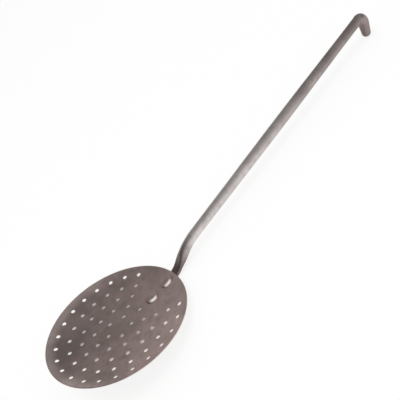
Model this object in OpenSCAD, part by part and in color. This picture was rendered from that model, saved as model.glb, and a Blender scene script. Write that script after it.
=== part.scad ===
// Skimmer: a shallow perforated bowl, riveted to the flattened end of a round handle with a hook.
// The bowl is drawn about its own axis, and everything is then tipped as it lies on a table:
// on the curve of the tang below the outer rivet, and on the tip of the hook.

/* [Bowl] */
// Diameter of the bowl over its rim
bowl_d = 140; // [120:1:170]
// Depth of the dish below its rim
bowl_depth = 8; // [6:0.5:12]
// Radius of the nearly flat bottom, in section
bottom_r = 700; // [500:10:2000]
// Distance from the bowl's axis to where its wall begins to turn up
wall_from = 40; // [30:1:45]
// Thickness of the bowl's sheet
sheet = 1.2; // [0.8:0.1:2]

/* [Perforations] */
// Diameter of each punched hole
hole_d = 4; // [2:0.1:5]
// Distance from one ring of holes to the next, measured along the sheet
ring_pitch = 12.35; // [10:0.05:14]
// Least distance from the rim to the centre of an outer hole
rim_margin = 7; // [5:0.5:12]
// Holes in the first ring, and the number that each later ring adds
ring_step = 5; // [4:1:6]
// First ring that is left blank where the handle is riveted on
blank_from = 3; // [2:1:4]

/* [Rivets] */
// Diameter of a rivet's shank
rivet_d = 5; // [3:0.1:6]
// Diameter of the low domed head inside the bowl
head_d = 13.5; // [12:0.1:15]
// Height of the head
head_h = 2.2; // [2:0.1:3]
// Radius of the head's rounded edge
head_edge_r = 1.6; // [1:0.1:1.8]
// Diameter of the tail, spread flush into the underside of the tang
tail_d = 7.6; // [7:0.1:9]
// Depth of the tail's countersink
tail_h = 1.3; // [0.8:0.1:2]
// Distance along the sheet from the outer rivet to the edge of the bowl
rivet_rim = 10.3; // [9:0.1:14]
// Distance between the two rivets
rivet_spacing = 20; // [16:0.5:22]
// Room around a shank in its hole
rivet_fit = 0.05; // [0.02:0.01:0.15]

/* [Tang] */
// Thickness of the flattened end under the bowl
tang_t = 4; // [3:0.1:6]
// Width of the tang at the rivets
tang_w = 15; // [12:0.5:18]
// Width of the tang where it passes the rim
tang_root_w = 10; // [8:0.1:14]
// Length of the tang past the inner rivet
tang_end = 9; // [8:0.5:11]
// Gap between the sheet and what lies against it, the tang and the rivets' heads
seat_fit = 0.05; // [0.03:0.01:0.15]
// Distance past the rim to where the tang starts to turn up
heel_from = 3.5; // [1:0.5:6]
// Radius of the heel where it turns up
heel_r = 14; // [8:1:20]

/* [Handle] */
// Diameter of the handle at its neck and at its hook
rod_d = 10; // [8:0.1:12]
// Diameter in the middle of the grip, where the handle swells a little
belly_d = 11.3; // [8:0.1:14]
// Steepness of the neck above the plane of the rim
neck_angle = 36; // [30:1:45]
// Length of the straight part of the neck
neck_l = 17; // [10:0.1:30]
// Radius of the bend from the neck into the grip
neck_r = 55; // [30:1:80]
// Steepness of the grip above the plane of the rim
grip_angle = 15.7; // [10:0.1:22]
// Length of the straight grip
grip_l = 278.5; // [180:0.5:340]

/* [Hook] */
// Radius of the bend at the centre of the rod
hook_r = 7; // [7:0.5:14]
// Width of the rod across the bend, where bending has spread it
hook_w = 13; // [10:0.1:15]
// Thickness of the rod in the plane of the bend, where bending has upset it
hook_t = 12.7; // [10:0.1:13]
// Diameter of the arm at its rounded tip
tip_d = 9.6; // [8:0.1:11]
// Length of the straight arm after the bend
arm_l = 11; // [6:0.5:30]
// Steepness of the arm, pointing down from the plane of the rim
arm_angle = 86; // [70:1:110]

/* [Hidden] */

// Facets on each ring of the handle, and on large and small rounds
ring_sides = 32;
large_fn = 720;
small_fn = 64;

// Pose [x, z, heading] after a run that turns evenly through an angle
function travel(pose, run, turn) =
    let (heading = pose[2] + turn)
    turn == 0
    ? [pose[0] + run * cos(heading), pose[1] + run * sin(heading), heading]
    : let (r = run / turn * 180 / PI)
      [
          pose[0] + r * (sin(heading) - sin(pose[2])),
          pose[1] - r * (cos(heading) - cos(pose[2])),
          heading
      ];

// Pose after a bend of a given radius
function bend(pose, r, turn) = travel(pose, r * abs(turn) * PI / 180, turn);

// Pose moved square to its heading, up if the shift is positive
function beside(pose, shift) = [
    pose[0] - shift * sin(pose[2]),
    pose[1] + shift * cos(pose[2]),
    pose[2]
];

// Middle of the sheet in section: a flat arc, then a tighter one that meets the rim
rim_r = (bowl_d - sheet) / 2;
sheet_start = [0, -bowl_depth - sheet / 2, 0];
bottom_turn = asin(wall_from / bottom_r);
wall_start = bend(sheet_start, bottom_r, bottom_turn);
wall_chord = [rim_r - wall_start[0], -sheet / 2 - wall_start[1]];
wall_turn = 2 * (atan2(wall_chord[1], wall_chord[0]) - bottom_turn);
wall_r = norm(wall_chord) / (2 * sin(wall_turn / 2));
bottom_run = bottom_r * bottom_turn * PI / 180;
wall_run = wall_r * wall_turn * PI / 180;
bottom_centre = beside(sheet_start, bottom_r);
wall_centre = beside(wall_start, wall_r);

// Pose on the middle of the sheet, a distance along it from the middle of the bowl
function on_section(distance) =
    distance < bottom_run
    ? bend(sheet_start, bottom_r, bottom_turn * distance / bottom_run)
    : bend(wall_start, wall_r, wall_turn * (distance - bottom_run) / wall_run);

sheet_run = bottom_run + wall_run;
ring_count = floor((sheet_run - rim_margin) / ring_pitch);
blank_half = 180 / ring_step;
rivet_start = sheet_run - rivet_rim - rivet_spacing;

// The head has a low crown that runs into its rounded edge
edge_at = head_d / 2 - head_edge_r;
crown_r = (edge_at * edge_at + head_h * head_h - head_edge_r * head_edge_r) / (2 * (head_h - head_edge_r));
crown_to = edge_at * crown_r / (crown_r - head_edge_r);
// It is flat below, so only its edge bears on the curve of the sheet
inner_r = wall_r - sheet / 2;
head_seat = sheet / 2 + seat_fit + inner_r - sqrt(inner_r * inner_r - head_d * head_d / 4);
// The tail is flat, and its edge ends just inside the curve of the tang's underside
tang_under = sheet / 2 + seat_fit + tang_t;
tail_inset = 0.02;
tail_recess = tail_inset + tail_d * tail_d / (8 * (wall_r + tang_under));

// Centre line of the handle, as runs from the tang's end to the hook's tip
tang_drop = sheet / 2 + seat_fit + tang_t / 2;
tang_from = rivet_start - tang_end;
tang_to = sheet_run + heel_from;
heel_start = beside(on_section(tang_to), -tang_drop);
neck_start = bend(heel_start, heel_r, neck_angle - heel_start[2]);
neck_end = travel(neck_start, neck_l, 0);
grip_start = bend(neck_end, neck_r, grip_angle - neck_angle);
grip_end = travel(grip_start, grip_l, 0);
arm_start = bend(grip_end, hook_r, -arm_angle - grip_angle);
tip = travel(arm_start, arm_l, 0);
tip_r = tip_d / 2;

heel_centre = beside(heel_start, heel_r);

// Angle at which the underside of a round and of the hook's tip are level
function lay_angle(centre, r) =
    let (reach = [tip[0] - centre[0], tip[1] - centre[1]])
    atan2(reach[1], reach[0]) + asin((r - tip_r) / norm(reach));

// It lies on the curve of the tang, or past that on the heel
wall_lay = lay_angle(wall_centre, wall_r + tang_under);
heel_lay = lay_angle(heel_centre, heel_r + tang_t / 2);
lay = wall_lay < heel_start[2] ? wall_lay : heel_lay;

// Squareness of a section: 2 is an ellipse, and more has flatter faces
round_section = 2;
flat_section = 5;

// Station on the centre line: its pose, half thickness, half width and squareness
function station(pose, thick, wide, square) = [pose, thick / 2, wide / 2, square];
function mix(a, b, t) = a + (b - a) * t;
function ease(t) = (1 - cos(180 * t)) / 2;

tongue_steps = 5;
tongue_l = tang_w / 2;
tongue = [
    for (i = [1 : tongue_steps])
        let (a = 90 * i / tongue_steps, at = tang_from + tongue_l * (1 - cos(a)))
        station(beside(on_section(at), -tang_drop), tang_t, tang_w * sin(a), flat_section)
];

tang_steps = 10;
tang_stations = [
    for (i = [1 : tang_steps])
        let (t = i / tang_steps, at = mix(tang_from + tongue_l, tang_to, t))
        station(
            beside(on_section(at), -tang_drop), tang_t, mix(tang_w, tang_root_w, ease(t)), flat_section
        )
];

heel_steps = 5;
heel_stations = [
    for (i = [1 : heel_steps])
        let (turn = (neck_angle - heel_start[2]) * i / heel_steps)
        station(bend(heel_start, heel_r, turn), tang_t, tang_root_w, flat_section)
];

neck_steps = 9;
neck_stations = [
    for (i = [1 : neck_steps])
        let (t = i / neck_steps, e = ease(t))
        station(
            travel(neck_start, neck_l * t, 0),
            mix(tang_t, rod_d, e), mix(tang_root_w, rod_d, e), mix(flat_section, round_section, e)
        )
];

bend_steps = 8;
bend_stations = [
    for (i = [1 : bend_steps])
        let (turn = (grip_angle - neck_angle) * i / bend_steps)
        station(bend(neck_end, neck_r, turn), rod_d, rod_d, round_section)
];

grip_steps = 18;
grip_stations = [
    for (i = [1 : grip_steps])
        let (t = i / grip_steps, d = mix(rod_d, belly_d, pow(sin(180 * t), 2)))
        station(travel(grip_start, grip_l * t, 0), d, d, round_section)
];

hook_steps = 14;
hook_stations = [
    for (i = [1 : hook_steps])
        let (t = i / hook_steps, turn = -(arm_angle + grip_angle) * t)
        station(
            bend(grip_end, hook_r, turn),
            rod_d + (hook_t - rod_d) * sin(180 * t), mix(rod_d, hook_w, sin(90 * t)), round_section
        )
];

arm_steps = 4;
arm_stations = [
    for (i = [1 : arm_steps])
        let (t = i / arm_steps)
        station(
            travel(arm_start, arm_l * t, 0), mix(rod_d, tip_d, t), mix(hook_w, tip_d, t), round_section
        )
];

tip_steps = 7;
tip_stations = [
    for (i = [1 : tip_steps])
        let (a = 86 * i / tip_steps)
        station(travel(tip, tip_r * sin(a), 0), tip_d * cos(a), tip_d * cos(a), round_section)
];

// Power that keeps its sign, for a superellipse
function signed_pow(v, e) = sign(v) * pow(abs(v), e);

// Points around one station
function ring(s) = [
    for (k = [0 : ring_sides - 1])
        let (
            a = 360 * k / ring_sides,
            up = s[1] * signed_pow(sin(a), 2 / s[3]),
            side = s[2] * signed_pow(cos(a), 2 / s[3])
        )
        [s[0][0] - up * sin(s[0][2]), side, s[0][1] + up * cos(s[0][2])]
];

// Ends of the whole length and the lowest point, once it lies at that angle
function laid_x(x, z) = x * cos(lay) + z * sin(lay);
function laid_z(x, z) = z * cos(lay) - x * sin(lay);
far_end = laid_x(-rim_r, -sheet / 2) - sheet / 2;
hook_end = max([for (s = hook_stations, p = ring(s)) laid_x(p[0], p[2])]);
table_z = laid_z(tip[0], tip[1]) - tip_r;

// Closed skin through all the stations
module loft(stations) {
    last = len(stations) - 1;
    points = [for (s = stations) each ring(s)];
    walls = [
        for (i = [0 : last - 1], k = [0 : ring_sides - 1])
            let (a = i * ring_sides, b = a + ring_sides, n = (k + 1) % ring_sides)
            [a + k, b + k, b + n, a + n]
    ];
    ends = [
        [for (k = [0 : ring_sides - 1]) k],
        [for (k = [ring_sides - 1 : -1 : 0]) last * ring_sides + k]
    ];
    polyhedron(points = points, faces = concat(walls, ends), convexity = 10);
}

// Tips the bowl's frame to the way it lies, with the table at zero and the length centred
module lie_down() {
    translate([-(far_end + hook_end) / 2, 0, -table_z])
        rotate([0, lay, 0])
            children();
}

// Children stand on the middle of the sheet, with +Z square to it and into the bowl
module on_sheet(distance, around = 0) {
    pose = on_section(distance);
    rotate([0, 0, around])
        translate([pose[0], 0, pose[1]])
            rotate([0, -pose[2], 0])
                children();
}

// Each child stands on the axis of a rivet
module at_rivets() {
    for (i = [0, 1])
        on_sheet(rivet_start + i * rivet_spacing)
            children();
}

// Section of a stretch of sheet, curved about a centre between two headings
module sheet_arc(centre, r, from, to) {
    reach = 2 * r;
    translate([centre[0], centre[1]])
        intersection() {
            difference() {
                circle(r = r + sheet / 2, $fn = large_fn);
                circle(r = r - sheet / 2, $fn = large_fn);
            }
            polygon([
                [0, 0],
                [reach * sin(from), -reach * cos(from)],
                [reach * sin(to), -reach * cos(to)]
            ]);
        }
}

// The whole sheet before it is punched, with its rim rounded by half its thickness.
// A short bridge inside the sheet makes its two arcs one piece where they meet.
module dish() {
    rotate_extrude($fn = large_fn / 4) {
        sheet_arc(bottom_centre, bottom_r, 0, bottom_turn);
        sheet_arc(wall_centre, wall_r, bottom_turn, bottom_turn + wall_turn);
        translate([wall_start[0], wall_start[1]])
            rotate(bottom_turn)
                square([sheet, sheet / 2], center = true);
        translate([rim_r, -sheet / 2])
            circle(d = sheet, $fn = 24);
    }
}

// One ring of holes, blank on the handle's side from a chosen ring outwards
module hole_ring(k) {
    holes = k < blank_from ? ring_step * k : (ring_step - 1) * k + 1;
    for (j = [0 : holes - 1])
        on_sheet(k * ring_pitch, blank_half + j * 360 / (ring_step * k))
            cylinder(d = hole_d, h = 3 * sheet, center = true, $fn = small_fn);
}

module bowl() {
    color("rosybrown")
        lie_down()
            difference() {
                dish();
                for (k = [1 : ring_count])
                    hole_ring(k);
                at_rivets()
                    cylinder(d = rivet_d + 2 * rivet_fit, h = 3 * sheet, center = true, $fn = small_fn);
            }
}

// Room for a shank through the tang, and for the tail spread into its underside
module rivet_hole() {
    hole = rivet_d + 2 * rivet_fit;
    sink = tail_d + 2 * rivet_fit;
    translate([0, 0, -tang_under - tang_t])
        cylinder(d = hole, h = 3 * tang_t, $fn = small_fn);
    translate([0, 0, -tang_under - tail_h])
        cylinder(d1 = 2 * sink - hole, d2 = hole, h = 2 * tail_h, $fn = small_fn);
}

module handle() {
    stations = concat(
        tongue, tang_stations, heel_stations, neck_stations, bend_stations,
        grip_stations, hook_stations, arm_stations, tip_stations
    );
    color("gray")
        lie_down()
            difference() {
                loft(stations);
                at_rivets()
                    rivet_hole();
            }
}

// Half section of a rivet: domed head, shank, and tail spread flush under the tang
module rivet_section() {
    foot = -tang_under + tail_recess;
    intersection() {
        translate([0, head_seat + head_h - crown_r])
            circle(r = crown_r, $fn = large_fn);
        translate([0, head_seat])
            square([crown_to, head_h]);
    }
    intersection() {
        translate([edge_at, head_seat])
            circle(r = head_edge_r, $fn = small_fn);
        translate([edge_at, head_seat])
            square(head_edge_r);
    }
    polygon([
        [0, foot],
        [tail_d / 2 - tail_recess, foot],
        [rivet_d / 2, -tang_under + tail_h],
        [rivet_d / 2, head_seat + head_h / 2],
        [0, head_seat + head_h / 2]
    ]);
}

module rivets() {
    color("silver")
        lie_down()
            at_rivets()
                rotate_extrude($fn = small_fn)
                    rivet_section();
}

bowl();
handle();
rivets();
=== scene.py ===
from math import asin, atan2, cos, degrees, hypot, pi, radians, sin, sqrt, tan

import bmesh
import bpy
from mathutils import Matrix, Vector


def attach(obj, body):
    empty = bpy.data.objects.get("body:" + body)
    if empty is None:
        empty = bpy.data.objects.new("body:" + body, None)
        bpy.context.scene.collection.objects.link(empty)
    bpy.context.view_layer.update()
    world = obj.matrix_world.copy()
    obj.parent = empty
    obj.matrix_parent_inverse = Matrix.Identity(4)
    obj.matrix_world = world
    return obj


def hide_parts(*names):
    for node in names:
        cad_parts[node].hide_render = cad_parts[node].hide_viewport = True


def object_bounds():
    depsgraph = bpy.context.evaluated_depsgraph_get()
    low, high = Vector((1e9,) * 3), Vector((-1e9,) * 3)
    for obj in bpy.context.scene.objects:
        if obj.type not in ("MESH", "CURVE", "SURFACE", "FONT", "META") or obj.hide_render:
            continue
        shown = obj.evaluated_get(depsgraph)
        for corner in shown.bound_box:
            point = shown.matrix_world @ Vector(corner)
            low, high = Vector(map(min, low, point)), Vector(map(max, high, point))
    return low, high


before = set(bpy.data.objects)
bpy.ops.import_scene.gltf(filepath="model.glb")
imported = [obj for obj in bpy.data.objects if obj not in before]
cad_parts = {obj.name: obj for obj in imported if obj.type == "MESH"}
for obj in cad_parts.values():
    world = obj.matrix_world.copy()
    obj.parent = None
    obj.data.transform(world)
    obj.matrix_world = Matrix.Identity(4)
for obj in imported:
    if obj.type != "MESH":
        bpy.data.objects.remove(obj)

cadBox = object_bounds()
print("frame loaded:", sorted(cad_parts))

mm = 0.001
mergeWithin = 0.002 * mm


# One flat curve runs through the whole object: x along it, z up, and a heading
def travel(pose, run, turn=0.0):
    x, z, heading = pose
    if turn == 0:
        return (x + run * cos(heading), z + run * sin(heading), heading)
    r = run / turn
    ahead = heading + turn
    return (x + r * (sin(ahead) - sin(heading)), z - r * (cos(ahead) - cos(heading)), ahead)


def bend(pose, r, turn):
    return travel(pose, r * abs(turn), turn)


def beside(pose, shift):
    x, z, heading = pose
    return (x - shift * sin(heading), z + shift * cos(heading), heading)


def mix(a, b, t):
    return a + (b - a) * t


def ease(t):
    return (1 - cos(pi * t)) / 2


def shares(count):
    # a stretch in equal steps, from the first one to its end at 1
    return [i / count for i in range(1, count + 1)]


def shareOf(value, low, high):
    # 0 up to the low limit, 1 from the high one on
    return min(max((value - low) / (high - low), 0.0), 1.0)


# Section of the dish

bowl = {
    "rimDiameter": 140 * mm,
    "depth": 8 * mm,
    "bottomRadius": 700 * mm,
    "wallFrom": 40 * mm,
    "sheet": 1.2 * mm,
    "bottomSteps": 16,
    "wallSteps": 22,
    "rimSteps": 8,
    "around": 240,
    "sharpFrom": radians(50),
}

sheet = bowl["sheet"]
rimRadius = (bowl["rimDiameter"] - sheet) / 2
sheetStart = (0.0, -bowl["depth"] - sheet / 2, 0.0)
bottomTurn = asin(bowl["wallFrom"] / bowl["bottomRadius"])
bottomRun = bowl["bottomRadius"] * bottomTurn
wallStart = bend(sheetStart, bowl["bottomRadius"], bottomTurn)
wallChord = (rimRadius - wallStart[0], -sheet / 2 - wallStart[1])
wallTurn = 2 * (atan2(wallChord[1], wallChord[0]) - bottomTurn)
wallRadius = hypot(*wallChord) / (2 * sin(wallTurn / 2))
wallRun = wallRadius * wallTurn
rimRun = bottomRun + wallRun


def onSection(distance):
    if distance < bottomRun:
        return bend(sheetStart, bowl["bottomRadius"], bottomTurn * distance / bottomRun)
    return bend(wallStart, wallRadius, wallTurn * (distance - bottomRun) / wallRun)


# Centre line of the handle, which starts from the places of the rivets

handle = {
    "tangThick": 4 * mm,
    "tangWide": 15 * mm,
    "rootWide": 10 * mm,
    "tangEnd": 9 * mm,
    "seatGap": 0.05 * mm,
    "heelFrom": 3.5 * mm,
    "heelRadius": 14 * mm,
    "rod": 10 * mm,
    "belly": 11.3 * mm,
    "neckAngle": radians(36),
    "neckLength": 17 * mm,
    "neckRadius": 55 * mm,
    "gripAngle": radians(15.7),
    "gripLength": 278.5 * mm,
    "hookRadius": 7 * mm,
    "hookWide": 13 * mm,
    "hookThick": 12.7 * mm,
    "tip": 9.6 * mm,
    "tipSweep": radians(88),
    "armLength": 11 * mm,
    "armAngle": radians(86),
    "flatSection": 5,        # power of the superellipse: 2 is round, more is squarer
    "roundSection": 2,
    "sides": 48,
    "tongueSteps": 7,
    "tangSteps": 16,
    "heelSteps": 6,
    "neckSteps": 18,
    "crankSteps": 16,
    "gripSteps": 40,
    "hookSteps": 24,
    "armSteps": 8,
    "tipSteps": 12,
    "sharpFrom": radians(50),
}

rivet = {
    "shank": 5 * mm,
    "head": 13.5 * mm,
    "headHigh": 2.2 * mm,
    "headEdge": 1.6 * mm,
    "tail": 7.6 * mm,
    "tailHigh": 1.3 * mm,
    "tailRecess": 0.1 * mm,
    "toRim": 10.3 * mm,
    "spacing": 20 * mm,
    "fit": 0.05 * mm,
    # where the painted highlight lies on each head's rounded edge, and which side it faces
    "highlightRun": (3.9 * mm, 5.1 * mm),
    "highlightSide": radians(-94),
    "highlightFade": (0.60, 0.95),
    "headSteps": 12,
    "around": 64,
    "sharpFrom": radians(35),
}

tangUnder = sheet / 2 + handle["seatGap"] + handle["tangThick"]
tangDrop = tangUnder - handle["tangThick"] / 2
rivetStart = rimRun - rivet["toRim"] - rivet["spacing"]
tangFrom = rivetStart - handle["tangEnd"]
tangTo = rimRun + handle["heelFrom"]
heelStart = beside(onSection(tangTo), -tangDrop)
heelTurn = handle["neckAngle"] - heelStart[2]
neckStart = bend(heelStart, handle["heelRadius"], heelTurn)
neckEnd = travel(neckStart, handle["neckLength"])
gripTurn = handle["gripAngle"] - handle["neckAngle"]
gripStart = bend(neckEnd, handle["neckRadius"], gripTurn)
gripEnd = travel(gripStart, handle["gripLength"])
hookTurn = -(handle["armAngle"] + handle["gripAngle"])
armStart = bend(gripEnd, handle["hookRadius"], hookTurn)
armEnd = travel(armStart, handle["armLength"])


def handleStations():
    # each station: pose, thickness, width, squareness
    h = handle
    rod, flat, full = h["rod"], h["flatSection"], h["roundSection"]
    stations = []
    tongue = h["tangWide"] / 2
    for t in shares(h["tongueSteps"]):
        a = pi / 2 * t
        pose = beside(onSection(tangFrom + tongue * (1 - cos(a))), -tangDrop)
        stations.append((pose, h["tangThick"], h["tangWide"] * sin(a), flat))
    for t in shares(h["tangSteps"]):
        pose = beside(onSection(mix(tangFrom + tongue, tangTo, t)), -tangDrop)
        stations.append((pose, h["tangThick"], mix(h["tangWide"], h["rootWide"], ease(t)), flat))
    for t in shares(h["heelSteps"]):
        pose = bend(heelStart, h["heelRadius"], heelTurn * t)
        stations.append((pose, h["tangThick"], h["rootWide"], flat))
    for t in shares(h["neckSteps"]):
        pose = travel(neckStart, h["neckLength"] * t)
        thick = mix(h["tangThick"], rod, ease(t))
        wide = mix(h["rootWide"], rod, ease(t))
        stations.append((pose, thick, wide, mix(flat, full, ease(t))))
    for t in shares(h["crankSteps"]):
        stations.append((bend(neckEnd, h["neckRadius"], gripTurn * t), rod, rod, full))
    for t in shares(h["gripSteps"]):
        d = mix(rod, h["belly"], sin(pi * t) ** 2)
        stations.append((travel(gripStart, h["gripLength"] * t), d, d, full))
    for t in shares(h["hookSteps"]):
        thick = mix(rod, h["hookThick"], sin(pi * t))
        wide = mix(rod, h["hookWide"], sin(pi / 2 * t))
        stations.append((bend(gripEnd, h["hookRadius"], hookTurn * t), thick, wide, full))
    for t in shares(h["armSteps"]):
        thick = mix(rod, h["tip"], t)
        wide = mix(h["hookWide"], h["tip"], t)
        stations.append((travel(armStart, h["armLength"] * t), thick, wide, full))
    for t in shares(h["tipSteps"]):
        a = h["tipSweep"] * t
        d = h["tip"] * cos(a)
        stations.append((travel(armEnd, h["tip"] / 2 * sin(a)), d, d, full))
    return stations


# The way it lies: on the curve of the tang and on the hook's tip

wallCentre = beside(wallStart, wallRadius)
tipRadius = handle["tip"] / 2
reach = (armEnd[0] - wallCentre[0], armEnd[1] - wallCentre[1])
lay = atan2(reach[1], reach[0]) + asin((wallRadius + tangUnder - tipRadius) / hypot(*reach))
tableShift = armEnd[0] * sin(lay) - armEnd[1] * cos(lay) + tipRadius
farEnd = -rimRadius * cos(lay) - sheet / 2 * sin(lay) - sheet / 2
lie = Matrix.Translation((cadBox[0][0] - farEnd, 0, tableShift)) @ Matrix.Rotation(lay, 4, "Y")


def onSheet(distance, around=0.0):
    x, z, heading = onSection(distance)
    return (
        Matrix.Rotation(around, 4, "Z")
        @ Matrix.Translation((x, 0, z))
        @ Matrix.Rotation(-heading, 4, "Y")
    )


print("lies at", round(degrees(lay), 3), "degrees")


# Helpers for every piece

def newObject(name, bm):
    mesh = bpy.data.meshes.new(name)
    bm.to_mesh(mesh)
    bm.free()
    obj = bpy.data.objects.new(name, mesh)
    bpy.context.scene.collection.objects.link(obj)
    return obj


def spunProfile(points, steps):
    # closed round shape from points (radius, height), turned about Z
    bm = bmesh.new()
    line = [bm.verts.new((r, 0, z)) for r, z in points]
    edges = [bm.edges.new(pair) for pair in zip(line, line[1:])]
    bmesh.ops.spin(
        bm, geom=line + edges, cent=(0, 0, 0), axis=(0, 0, 1),
        angle=2 * pi, steps=steps, use_merge=True,
    )
    bmesh.ops.remove_doubles(bm, verts=bm.verts, dist=mergeWithin)
    bmesh.ops.recalc_face_normals(bm, faces=bm.faces)
    return bm


def manyOf(shape, places, bm=None):
    # copies of one small mesh at many places, in a new bmesh or in the given one
    if bm is None:
        bm = bmesh.new()
    mesh = bpy.data.meshes.new("shape")
    shape.to_mesh(mesh)
    shape.free()
    for place in places:
        before = len(bm.verts)
        bm.from_mesh(mesh)
        bm.verts.ensure_lookup_table()
        bmesh.ops.transform(bm, matrix=place, verts=bm.verts[before:])
    bpy.data.meshes.remove(mesh)
    return bm


def cutWith(obj, cutters):
    cut = newObject(obj.name + "Cutter", cutters)
    mod = obj.modifiers.new("holes", "BOOLEAN")
    mod.operation = "DIFFERENCE"
    mod.solver = "EXACT"
    mod.object = cut
    graph = bpy.context.evaluated_depsgraph_get()
    mesh = bpy.data.meshes.new_from_object(obj.evaluated_get(graph))
    waste = (obj.data, cut.data)
    obj.modifiers.clear()
    obj.data = mesh
    bpy.data.objects.remove(cut)
    for old in waste:
        bpy.data.meshes.remove(old)


def finishMesh(obj, sharpFrom):
    obj.data.shade_smooth()
    obj.data.set_sharp_from_angle(angle=sharpFrom)


# Bowl: a spun sheet with a rounded rim, then the punched holes

holes = {
    "diameter": 4 * mm,
    "pitch": 12.35 * mm,
    "rimMargin": 7 * mm,
    "ringStep": 5,
    "blankFrom": 3,
    "lipTop": 0.30 * mm,     # the punch rolls the upper edge in a little
    "lipUnder": 0.12 * mm,
    "rivetLip": 0.05 * mm,
    "lipSteps": 4,
    "around": 36,
}


def punch(radius, lipTop, lipUnder):
    # round cutter with flared ends, so each hole has softened edges
    turns = [0.0] + [pi / 2 * t for t in shares(holes["lipSteps"])]
    points = [(0, -sheet), (radius + lipUnder, -sheet)]
    points += [(radius + lipUnder * (1 - sin(a)), -sheet / 2 + lipUnder * (1 - cos(a))) for a in turns]
    points += [(radius + lipTop * (1 - cos(a)), sheet / 2 - lipTop * (1 - sin(a))) for a in turns]
    points += [(radius + lipTop, sheet), (0, sheet)]
    return spunProfile(points, holes["around"])


def holePlaces():
    rings = int((rimRun - holes["rimMargin"]) / holes["pitch"])
    step = holes["ringStep"]
    for k in range(1, rings + 1):
        count = step * k if k < holes["blankFrom"] else (step - 1) * k + 1
        for j in range(count):
            around = pi / step + j * 2 * pi / (step * k)
            yield lie @ onSheet(k * holes["pitch"], around)


def rivetPlaces():
    for i in range(2):
        yield lie @ onSheet(rivetStart + i * rivet["spacing"])


def makeBowl():
    distances = [bottomRun * i / bowl["bottomSteps"] for i in range(bowl["bottomSteps"])]
    distances += [bottomRun + wallRun * i / bowl["wallSteps"] for i in range(bowl["wallSteps"] + 1)]
    poses = [onSection(d) for d in distances]
    inner = [beside(pose, sheet / 2)[:2] for pose in poses]
    outer = [beside(pose, -sheet / 2)[:2] for pose in poses]
    x, z, heading = poses[-1]
    rim = []
    for t in shares(bowl["rimSteps"])[:-1]:
        a = heading + pi / 2 - pi * t
        rim.append((x + sheet / 2 * cos(a), z + sheet / 2 * sin(a)))
    bm = spunProfile(inner + rim + outer[::-1], bowl["around"])
    bmesh.ops.transform(bm, matrix=lie, verts=bm.verts)
    obj = newObject("bowlSheet", bm)
    drain = punch(holes["diameter"] / 2, holes["lipTop"], holes["lipUnder"])
    shank = punch(rivet["shank"] / 2 + rivet["fit"], holes["rivetLip"], holes["rivetLip"])
    cutWith(obj, manyOf(shank, rivetPlaces(), manyOf(drain, holePlaces())))
    finishMesh(obj, bowl["sharpFrom"])
    return obj


bowlSheet = makeBowl()
print("bowl:", len(bowlSheet.data.polygons), "faces")


# Handle: one ring of vertices drawn along the centre line

def signedPower(v, e):
    return (1 if v >= 0 else -1) * abs(v) ** e


def placeRing(verts, side, station):
    pose, thick, wide, square = station
    x, z, heading = pose
    for v in verts:
        a = 2 * pi * v[side] / handle["sides"]
        up = thick / 2 * signedPower(sin(a), 2 / square)
        across = wide / 2 * signedPower(cos(a), 2 / square)
        v.co = lie @ Vector((x - up * sin(heading), across, z + up * cos(heading)))


def makeHandle():
    sides = handle["sides"]
    stations = handleStations()
    bm = bmesh.new()
    side = bm.verts.layers.int.new("side")
    run = bm.verts.layers.float.new("run")
    first = bmesh.ops.create_circle(bm, segments=sides, radius=1)["verts"]
    for v in first:
        v[side] = round(atan2(v.co.y, v.co.x) / (2 * pi) * sides) % sides
    placeRing(first, side, stations[0])
    edges = list(bm.edges)
    bmesh.ops.contextual_create(bm, geom=edges)
    distance = 0.0
    for last, station in zip(stations, stations[1:]):
        made = bmesh.ops.extrude_edge_only(bm, edges=edges)["geom"]
        ring = {g for g in made if isinstance(g, bmesh.types.BMVert)}
        edges = [g for g in made if isinstance(g, bmesh.types.BMEdge) and ring.issuperset(g.verts)]
        placeRing(ring, side, station)
        distance += hypot(station[0][0] - last[0][0], station[0][1] - last[0][1])
        for v in ring:
            v[run] = distance
    bmesh.ops.contextual_create(bm, geom=edges)
    bmesh.ops.recalc_face_normals(bm, faces=bm.faces)

    # the finish follows the bar: U along it and V round it, both in metres
    uv = bm.loops.layers.uv.new("along")
    for face in bm.faces:
        seam = any(loop.vert[side] == sides - 1 for loop in face.loops)
        for loop in face.loops:
            k = loop.vert[side]
            if seam and k == 0:
                k = sides
            loop[uv].uv = (loop.vert[run], k / sides * pi * handle["rod"])
    obj = newObject("handleBar", bm)

    # cutter for a shank's hole, whose countersink widens on past the underside
    shank = rivet["shank"] / 2 + rivet["fit"]
    sink = rivet["tail"] / 2 + rivet["fit"]
    foot = -tangUnder - rivet["tailHigh"]
    points = [(0, foot), (2 * sink - shank, foot)]
    points += [(shank, -tangUnder + rivet["tailHigh"]), (shank, 0), (0, 0)]
    cutWith(obj, manyOf(spunProfile(points, rivet["around"]), rivetPlaces()))
    finishMesh(obj, handle["sharpFrom"])
    return obj


handleBar = makeHandle()
print("handle:", len(handleBar.data.polygons), "faces")


# Rivets: domed heads in the bowl, tails spread flush under the tang

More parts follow.
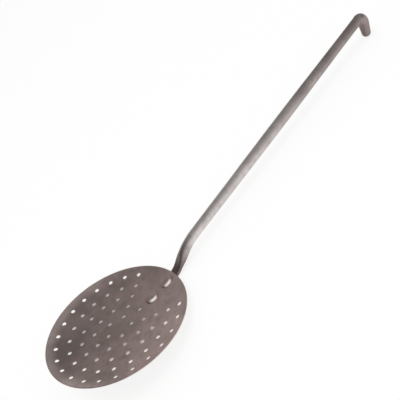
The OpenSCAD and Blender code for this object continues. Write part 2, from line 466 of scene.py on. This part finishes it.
def makeRivets():
    r = rivet
    inner = wallRadius - sheet / 2
    seat = sheet / 2 + handle["seatGap"] + inner - sqrt(inner ** 2 - r["head"] ** 2 / 4)
    top = seat + r["headHigh"]
    foot = -tangUnder + r["tailRecess"]
    points = [(0, foot), (r["tail"] / 2 - r["tailRecess"] * 2, foot)]
    points.append((r["tail"] / 2 - r["tailRecess"], foot + r["tailRecess"]))
    points.append((r["shank"] / 2, -tangUnder + r["tailHigh"]))
    points.append((r["shank"] / 2, seat))
    # a low crown that runs into a rounded edge
    edge = r["headEdge"]
    reach = r["head"] / 2 - edge
    crown = (reach ** 2 + r["headHigh"] ** 2 - edge ** 2) / (2 * (r["headHigh"] - edge))
    spread = asin(reach / (crown - edge))
    for t in [0.0] + shares(r["headSteps"]):
        a = mix(pi / 2, spread, t)
        points.append((reach + edge * sin(a), seat + edge * cos(a)))
    for t in shares(r["headSteps"]):
        a = spread * (1 - t)
        points.append((crown * sin(a), top - crown + crown * cos(a)))
    shape = spunProfile(points, r["around"])
    # painted highlight: one side of the rounded edge is painted bright, facing the light
    paintedHighlight = shape.verts.layers.float.new("paintedHighlight")
    for v in shape.verts:
        facing = cos(atan2(v.co.y, v.co.x) - r["highlightSide"])
        v[paintedHighlight] = shareOf(hypot(v.co.x, v.co.y), *r["highlightRun"]) * shareOf(facing, *r["highlightFade"])
    obj = newObject("rivetPair", manyOf(shape, rivetPlaces()))
    finishMesh(obj, r["sharpFrom"])
    return obj


rivetPair = makeRivets()
print("rivets:", len(rivetPair.data.polygons), "faces")


# Nodes

def addNode(tree, kind, **settings):
    node = tree.nodes.new(kind)
    for key, value in settings.items():
        setattr(node, key, value)
    return node


def feed(tree, socket, value):
    # plain values are set on the socket, outputs of other nodes are linked to it
    if isinstance(value, (int, float, tuple)):
        socket.default_value = value
    else:
        tree.links.new(value, socket)


def mathNode(tree, operation, *values):
    node = addNode(tree, "ShaderNodeMath", operation=operation)
    for socket, value in zip(node.inputs, values):
        feed(tree, socket, value)
    return node.outputs[0]


def plus(tree, a, b):
    return mathNode(tree, "ADD", a, b)


def times(tree, a, b):
    return mathNode(tree, "MULTIPLY", a, b)


def vectorNode(tree, operation, *values):
    node = addNode(tree, "ShaderNodeVectorMath", operation=operation)
    for socket, value in zip(node.inputs, values):
        feed(tree, socket, value)
    return node


def splitVector(tree, vector):
    node = addNode(tree, "ShaderNodeSeparateXYZ")
    tree.links.new(vector, node.inputs[0])
    return node.outputs[:3]


def joinVector(tree, *values):
    node = addNode(tree, "ShaderNodeCombineXYZ")
    for socket, value in zip(node.inputs, values):
        feed(tree, socket, value)
    return node.outputs[0]


def noiseNode(tree, vector, scale, detail, roughness=0.5):
    node = addNode(tree, "ShaderNodeTexNoise")
    tree.links.new(vector, node.inputs["Vector"])
    feed(tree, node.inputs["Scale"], scale)
    node.inputs["Detail"].default_value = detail
    node.inputs["Roughness"].default_value = roughness
    return node.outputs["Fac"]


def rangeNode(tree, value, low, high, outLow=0.0, outHigh=1.0):
    node = addNode(tree, "ShaderNodeMapRange", interpolation_type="SMOOTHSTEP")
    tree.links.new(value, node.inputs["Value"])
    node.inputs["From Min"].default_value = low
    node.inputs["From Max"].default_value = high
    node.inputs["To Min"].default_value = outLow
    node.inputs["To Max"].default_value = outHigh
    return node.outputs["Result"]


def mixColour(tree, mask, low, high):
    node = addNode(tree, "ShaderNodeMix", data_type="RGBA")
    tree.links.new(mask, node.inputs["Factor"])
    # its colours are inputs 6 and 7 and output 2
    for socket, value in ((node.inputs[6], low), (node.inputs[7], high)):
        feed(tree, socket, (*value, 1) if isinstance(value, tuple) else value)
    return node.outputs[2]


def objectVector(tree):
    return addNode(tree, "ShaderNodeTexCoord").outputs["Object"]


# Shared effects of the steel

marks = {
    "cloudDetail": 5.0,
    "cloudRange": (0.30, 0.70),
    "spotDetail": 3.0,
    "spotRange": (0.45, 0.75),
    "toothScale": 2600.0,
    "toothDetail": 2.0,
    "toothRough": 0.55,
    "grainDetail": 3.0,
    "scratchShare": 0.3,     # of the grain's number of lines
    "scratchDetail": 2.0,
    "scratchRange": (0.60, 0.75),
    "grainHeight": 0.6,
    "toothHeight": 0.4,
    "scratchDepth": 0.5,
    "bumpDistance": 0.03 * mm,
}


def socketGroup(name, inputs, outputs):
    # a vector and some numbers in, masks out
    group = bpy.data.node_groups.new(name, "ShaderNodeTree")
    group.interface.new_socket("Vector", in_out="INPUT", socket_type="NodeSocketVector")
    for label, value in inputs.items():
        socket = group.interface.new_socket(label, in_out="INPUT", socket_type="NodeSocketFloat")
        socket.default_value = value
    for label in outputs:
        group.interface.new_socket(label, in_out="OUTPUT", socket_type="NodeSocketFloat")
    into = addNode(group, "NodeGroupInput")
    return group, into.outputs, addNode(group, "NodeGroupOutput").inputs


def patinaGroup():
    # cloudy handling marks: broad stains, small spots and a fine tooth
    group, given, out = socketGroup(
        "patina", {"Cloud Size": 0.02, "Spot Size": 0.003}, ("Clouds", "Spots", "Tooth")
    )
    perCloud = mathNode(group, "DIVIDE", 1.0, given["Cloud Size"])
    perSpot = mathNode(group, "DIVIDE", 1.0, given["Spot Size"])
    clouds = noiseNode(group, given["Vector"], perCloud, marks["cloudDetail"])
    spots = noiseNode(group, given["Vector"], perSpot, marks["spotDetail"])
    tooth = noiseNode(
        group, given["Vector"], marks["toothScale"], marks["toothDetail"], marks["toothRough"]
    )
    group.links.new(rangeNode(group, clouds, *marks["cloudRange"]), out["Clouds"])
    group.links.new(rangeNode(group, spots, *marks["spotRange"]), out["Spots"])
    group.links.new(tooth, out["Tooth"])
    return group


def grainGroup():
    # polishing lines: a noise stretched along one direction of its vector
    group, given, out = socketGroup(
        "polishGrain", {"Lines": 2500.0, "Stretch": 40.0}, ("Grain", "Scratches")
    )
    x, y, z = splitVector(group, given["Vector"])
    drawn = joinVector(group, mathNode(group, "DIVIDE", x, given["Stretch"]), y, z)
    fine = noiseNode(group, drawn, given["Lines"], marks["grainDetail"])
    fewer = times(group, given["Lines"], marks["scratchShare"])
    coarse = noiseNode(group, drawn, fewer, marks["scratchDetail"])
    group.links.new(fine, out["Grain"])
    group.links.new(rangeNode(group, coarse, *marks["scratchRange"]), out["Scratches"])
    return group


patina = patinaGroup()
polishGrain = grainGroup()


def groupNode(tree, group, vector, values):
    node = addNode(tree, "ShaderNodeGroup", node_tree=group)
    tree.links.new(vector, node.inputs["Vector"])
    for label, value in values.items():
        node.inputs[label].default_value = value
    return node.outputs


def steel(name, spec, vectorOf, paintedShadingOf=None):
    # satin steel: two tones by cloudy stains, roughness and bump by polishing lines
    material = bpy.data.materials.new(name)
    material.use_nodes = True
    tree = material.node_tree
    shader = tree.nodes["Principled BSDF"]
    stains = groupNode(
        tree, patina, objectVector(tree), {"Cloud Size": spec["cloud"], "Spot Size": spec["spot"]}
    )
    grain = groupNode(
        tree, polishGrain, vectorOf(tree), {"Lines": spec["lines"], "Stretch": spec["stretch"]}
    )

    colour = mixColour(tree, stains["Clouds"], spec["dark"], spec["light"])
    spotMask = times(tree, stains["Spots"], spec["spotShare"])
    colour = mixColour(tree, spotMask, colour, spec["spotColour"])
    shader.inputs["Metallic"].default_value = spec["metallic"]
    if "highlightColour" in spec:
        # the painted highlight is made partly diffuse, so it shows bright from many sides
        paintedHighlight = addNode(tree, "ShaderNodeAttribute", attribute_name="paintedHighlight").outputs["Fac"]
        colour = mixColour(tree, paintedHighlight, colour, spec["highlightColour"])
        metal = rangeNode(tree, paintedHighlight, 0, 1, spec["metallic"], spec["highlightMetal"])
        tree.links.new(metal, shader.inputs["Metallic"])
    # painted light and shade, where given, scale the colour
    if paintedShadingOf:
        colour = vectorNode(tree, "MULTIPLY", colour, paintedShadingOf(tree)).outputs[0]
    tree.links.new(colour, shader.inputs["Base Color"])

    rough = rangeNode(tree, stains["Clouds"], 0, 1, *spec["rough"])
    rough = plus(tree, rough, times(tree, grain["Grain"], spec["grainRough"]))
    tree.links.new(rough, shader.inputs["Roughness"])

    height = times(tree, grain["Grain"], marks["grainHeight"])
    height = plus(tree, height, times(tree, stains["Tooth"], marks["toothHeight"]))
    scratches = times(tree, grain["Scratches"], marks["scratchDepth"])
    bump = addNode(tree, "ShaderNodeBump")
    bump.inputs["Strength"].default_value = spec["bump"]
    bump.inputs["Distance"].default_value = marks["bumpDistance"]
    tree.links.new(mathNode(tree, "SUBTRACT", height, scratches), bump.inputs["Height"])
    tree.links.new(bump.outputs["Normal"], shader.inputs["Normal"])
    return material


# Finish of the bowl, with light and shade painted on it

bowlFinish = {
    "dark": (0.37, 0.292, 0.270),
    "light": (0.52, 0.402, 0.378),
    "spotColour": (0.33, 0.255, 0.234),
    "spotShare": 0.6,
    "cloud": 0.035,
    "spot": 0.006,
    "metallic": 1.0,
    "rough": (0.42, 0.34),
    "grainRough": 0.08,
    "lines": 2200.0,
    "stretch": 12.0,
    "bump": 0.25,
    "turnLength": 0.05,      # metres of polishing line in one radian
    # painted reflection: one side of the bowl lighter, the other darker
    "litTone": (1.42, 1.42, 1.42),
    "shadedTone": (0.66, 0.665, 0.675),
    "shadedSide": radians(150),
    "shadedRun": (-0.100, 0.130),
    "shadedUneven": 0.03,
    "unevenScale": 22.0,
    "unevenDetail": 3.0,
    "unevenRough": 0.55,
    # painted sheen along the rim on the darker side
    "rimSheenTone": (1.37, 1.44, 1.46),
    "rimSheenRun": (0.058, 0.068),
    "rimSheenSide": radians(140),
    "rimSheenSideRun": (-0.050, 0.060),
}


def bowlFrame(tree):
    # coordinates in the bowl's own frame, with Z as its axis
    turn = addNode(tree, "ShaderNodeMapping", vector_type="TEXTURE")
    turn.inputs["Location"].default_value = lie.translation
    turn.inputs["Rotation"].default_value = (0, lay, 0)
    tree.links.new(objectVector(tree), turn.inputs["Vector"])
    return turn.outputs[0]


def distanceFrom(tree, x, y):
    return mathNode(tree, "SQRT", plus(tree, times(tree, x, x), times(tree, y, y)))


def alongSide(tree, vector, angle):
    return vectorNode(tree, "DOT_PRODUCT", vector, (cos(angle), sin(angle), 0)).outputs["Value"]


def bowlVector(tree):
    # polishing rings about the bowl's own axis: X along the lines, Y across them
    x, y, z = splitVector(tree, bowlFrame(tree))
    along = times(tree, mathNode(tree, "ARCTAN2", y, x), bowlFinish["turnLength"])
    return joinVector(tree, along, distanceFrom(tree, x, y), z)


def bowlPaintedLight(tree):
    # painted reflection: the bowl is painted lighter on one side and darker toward the other, along an
    # uneven border
    spec = bowlFinish
    place = bowlFrame(tree)
    uneven = noiseNode(tree, place, spec["unevenScale"], spec["unevenDetail"], spec["unevenRough"])
    where = plus(tree, alongSide(tree, place, spec["shadedSide"]), times(tree, uneven, spec["shadedUneven"]))
    tone = mixColour(tree, rangeNode(tree, where, *spec["shadedRun"]), spec["litTone"], spec["shadedTone"])
    # painted sheen: on that side the wall is painted paler and greyer along the rim
    x, y = splitVector(tree, place)[:2]
    edge = rangeNode(tree, distanceFrom(tree, x, y), *spec["rimSheenRun"])
    side = rangeNode(tree, alongSide(tree, place, spec["rimSheenSide"]), *spec["rimSheenSideRun"])
    return mixColour(tree, times(tree, edge, side), tone, spec["rimSheenTone"])


# Finish of the handle, with shade painted on it

barFinish = {
    "dark": (0.57, 0.52, 0.505),
    "light": (0.71, 0.658, 0.642),
    "spotColour": (0.44, 0.40, 0.385),
    "spotShare": 0.5,
    "cloud": 0.022,
    "spot": 0.005,
    "metallic": 1.0,
    "rough": (0.30, 0.22),
    "grainRough": 0.08,
    "lines": 2600.0,
    "stretch": 30.0,
    "bump": 0.3,
    "litTone": (1.0, 1.0, 1.0),
    # painted shade under the bowl and where the bar leaves it
    "rootShadeTone": (0.29, 0.25, 0.24),
    "rootShadeRun": (0.048, 0.080),
    # painted shade, slowly darker toward the hook
    "hookShadeTone": (0.48, 0.44, 0.43),
    "hookShadeRun": (0.12, 0.34),
    # painted shade on the inside of the hook and on its tip
    "innerShadeTone": (0.30, 0.245, 0.24),
    "insideAt": 0.75 * pi * handle["rod"],   # V of the bar's underside
    "insideHalf": (0.0015, 0.0065),
    "armRun": (0.358, 0.374),
    "tipRun": (0.3825, 0.3890),
}


def barVector(tree):
    return addNode(tree, "ShaderNodeUVMap", uv_map="along").outputs[0]


def barPaintedShade(tree):
    # painted shade: the bar is dark under the bowl and where it leaves it, and slowly darker toward its
    # hook
    spec = barFinish
    run, girth = splitVector(tree, barVector(tree))[:2]
    late = mixColour(tree, rangeNode(tree, run, *spec["hookShadeRun"]), spec["litTone"], spec["hookShadeTone"])
    # painted shade: the inside of the hook and its tip are darker still
    aside = mathNode(tree, "ABSOLUTE", mathNode(tree, "SUBTRACT", girth, spec["insideAt"]))
    inside = rangeNode(tree, aside, *spec["insideHalf"], 1.0, 0.0)
    inside = times(tree, inside, rangeNode(tree, run, *spec["armRun"]))
    armAndTipShade = mathNode(tree, "MAXIMUM", inside, rangeNode(tree, run, *spec["tipRun"]))
    late = mixColour(tree, armAndTipShade, late, spec["innerShadeTone"])
    return mixColour(tree, rangeNode(tree, run, *spec["rootShadeRun"]), spec["rootShadeTone"], late)


# Finish of the rivets, with a highlight painted on each head

rivetFinish = {
    "dark": (0.47, 0.37, 0.345),
    "light": (0.56, 0.44, 0.41),
    "spotColour": (0.38, 0.30, 0.28),
    "spotShare": 0.4,
    "cloud": 0.006,
    "spot": 0.0015,
    "metallic": 1.0,
    "rough": (0.40, 0.34),
    "grainRough": 0.04,
    "lines": 3000.0,
    "stretch": 3.0,
    "bump": 0.2,
    # painted highlight on one side of each head's edge
    "highlightColour": (0.97, 0.91, 0.895),
    "highlightMetal": 0.45,
}

pieces = [
    (bowlSheet, "bowl", "bowl_steel", steel("bowlSteel", bowlFinish, bowlVector, bowlPaintedLight)),
    (handleBar, "handle", "handle_steel", steel("handleSteel", barFinish, barVector, barPaintedShade)),
    (rivetPair, "rivets", "rivet_steel", steel("rivetSteel", rivetFinish, objectVector)),
]
for piece, node, slot, material in pieces:
    piece.data.materials.clear()
    piece.data.materials.append(material)
    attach(piece, "root")
    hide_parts(node)
    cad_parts[node].data.materials.clear()
    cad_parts[node].data.materials.append(material)
print("pieces dressed:", [piece.name for piece, *rest in pieces])


# Floor and world

floorSpec = {
    "size": 6.0,
    "colour": (0.93, 0.93, 0.925),
    "rough": 0.9,
    "shadowShare": 0.18,
    "shade": 0.60,
    "shadeSlide": 1.24,      # how far the shade slides aside for each metre of drop
    "shadeRun": (0.60, 0.95),
}
worldStrength = 0.85


def whiteSight(tree):
    # 1 for rays that see the set directly, in metal or through glass, else 0
    path = addNode(tree, "ShaderNodeLightPath").outputs
    seen = mathNode(tree, "MAXIMUM", path["Is Camera Ray"], path["Is Glossy Ray"])
    return mathNode(tree, "MAXIMUM", seen, path["Is Transmission Ray"])


def underBowl(tree):
    # level of the floor: full, and lower where light from the front leaves the bowl's shade
    alongFloor, acrossFloor = splitVector(tree, objectVector(tree))[:2]
    x = mathNode(tree, "SUBTRACT", alongFloor, lie.translation.x)
    drop = mathNode(tree, "SUBTRACT", lie.translation.z, times(tree, x, tan(lay)))
    y = mathNode(tree, "SUBTRACT", acrossFloor, times(tree, drop, floorSpec["shadeSlide"]))
    along = mathNode(tree, "DIVIDE", x, rimRadius * cos(lay))
    across = mathNode(tree, "DIVIDE", y, rimRadius)
    reached = distanceFrom(tree, along, across)
    return rangeNode(tree, reached, *floorSpec["shadeRun"], 1 - floorSpec["shade"], 1.0)


def makeFloor():
    bm = bmesh.new()
    bmesh.ops.create_grid(bm, x_segments=1, y_segments=1, size=floorSpec["size"] / 2)
    floor = newObject("floor", bm)
    material = bpy.data.materials.new("paleFloor")
    material.use_nodes = True
    tree = material.node_tree
    shader = tree.nodes["Principled BSDF"]
    shader.inputs["Base Color"].default_value = (*floorSpec["colour"], 1)
    shader.inputs["Roughness"].default_value = floorSpec["rough"]
    shader.inputs["Specular IOR Level"].default_value = 0.0
    # white to the eye, but for a share of the cast shadows and the bowl's shade
    glow = addNode(tree, "ShaderNodeEmission")
    tree.links.new(underBowl(tree), glow.inputs["Strength"])
    blend = addNode(tree, "ShaderNodeMixShader")
    share = times(tree, whiteSight(tree), 1 - floorSpec["shadowShare"])
    tree.links.new(share, blend.inputs[0])
    tree.links.new(shader.outputs[0], blend.inputs[1])
    tree.links.new(glow.outputs[0], blend.inputs[2])
    tree.links.new(blend.outputs[0], tree.nodes["Material Output"].inputs["Surface"])
    floor.data.materials.append(material)


def makeWorld():
    world = bpy.data.worlds.new("studio")
    bpy.context.scene.world = world
    world.use_nodes = True
    tree = world.node_tree
    back = tree.nodes["Background"]
    back.inputs["Color"].default_value = (1, 1, 1, 1)
    extra = times(tree, whiteSight(tree), 1 - worldStrength)
    tree.links.new(plus(tree, extra, worldStrength), back.inputs["Strength"])


# Grey tent that only the metal mirrors: level by direction, brighter near the floor

tent = {
    "radius": 2.9,
    "subdivisions": 4,
    "openBelow": -0.2,
    "zenith": 0.32,
    "low": 0.40,
    "lowPower": 2.0,
    "towardHook": -0.30,
    "towardBack": -0.04,
    "overHook": 0.40,
    "front": 0.32,
    "frontPlace": (0.0, -0.94, 0.34),
    "frontPower": 3.0,
    "least": 0.05,
}


def makeTent():
    bm = bmesh.new()
    bmesh.ops.create_icosphere(bm, subdivisions=tent["subdivisions"], radius=tent["radius"])
    low = [v for v in bm.verts if v.co.z < tent["openBelow"]]
    bmesh.ops.delete(bm, geom=low, context="VERTS")
    dome = newObject("tent", bm)
    material = bpy.data.materials.new("tentCloth")
    material.use_nodes = True
    tree = material.node_tree
    unit = vectorNode(tree, "NORMALIZE", objectVector(tree)).outputs[0]
    x, y, z = splitVector(tree, unit)
    down = mathNode(tree, "SUBTRACT", 1.0, mathNode(tree, "MAXIMUM", z, 0.0))
    toFront = vectorNode(tree, "DOT_PRODUCT", unit, tent["frontPlace"]).outputs["Value"]
    near = mathNode(tree, "MAXIMUM", toFront, 0.0)
    level = tent["zenith"]
    for shape, amount in (
        (mathNode(tree, "POWER", down, tent["lowPower"]), tent["low"]),
        (times(tree, x, down), tent["towardHook"]),
        (times(tree, x, z), tent["overHook"]),
        (y, tent["towardBack"]),
        (mathNode(tree, "POWER", near, tent["frontPower"]), tent["front"]),
    ):
        level = plus(tree, level, times(tree, shape, amount))
    glow = addNode(tree, "ShaderNodeEmission")
    tree.links.new(mathNode(tree, "MAXIMUM", level, tent["least"]), glow.inputs["Strength"])
    tree.links.new(glow.outputs[0], tree.nodes["Material Output"].inputs["Surface"])
    dome.data.materials.append(material)
    dome.visible_camera = False
    dome.visible_diffuse = False
    dome.visible_shadow = False
    dome.visible_transmission = False


# One wide lamp overhead, which the metal doesn't mirror

lampSpec = {
    "place": (-0.2, -0.3, 1.8),
    "aim": (0, 0, 0),
    "size": (1.0, 0.7),
    "power": 8.0,
}


def makeLamp():
    light = bpy.data.lights.new("softTop", "AREA")
    light.shape = "RECTANGLE"
    light.size, light.size_y = lampSpec["size"]
    light.energy = lampSpec["power"]
    lamp = bpy.data.objects.new("softTop", light)
    lamp.location = lampSpec["place"]
    aim = Vector(lampSpec["aim"]) - Vector(lampSpec["place"])
    lamp.rotation_euler = aim.to_track_quat("-Z", "Y").to_euler()
    lamp.visible_glossy = False
    bpy.context.scene.collection.objects.link(lamp)


makeFloor()
makeWorld()
makeTent()
makeLamp()
print("stage set")


# Camera, fitted to the photograph

view = {
    "place": (-0.14858, -0.43324, 0.37178),
    "target": (-0.02608, 0.01954, 0.020),
    "roll": radians(-41.626),
    "lens": 54.0,
    "sensor": 36.0,
    "clipStart": 0.01,
}


def makeCamera():
    data = bpy.data.cameras.new("camera")
    data.sensor_fit = "HORIZONTAL"
    data.sensor_width = view["sensor"]
    data.lens = view["lens"]
    data.clip_start = view["clipStart"]
    camera = bpy.data.objects.new("camera", data)
    aim = (Vector(view["target"]) - Vector(view["place"])).to_track_quat("-Z", "Y")
    camera.matrix_world = (
        Matrix.Translation(view["place"])
        @ aim.to_matrix().to_4x4()
        @ Matrix.Rotation(view["roll"], 4, "Z")
    )
    bpy.context.scene.collection.objects.link(camera)
    bpy.context.scene.camera = camera


makeCamera()
bpy.context.scene.view_settings.view_transform = "Standard"
print("camera set")
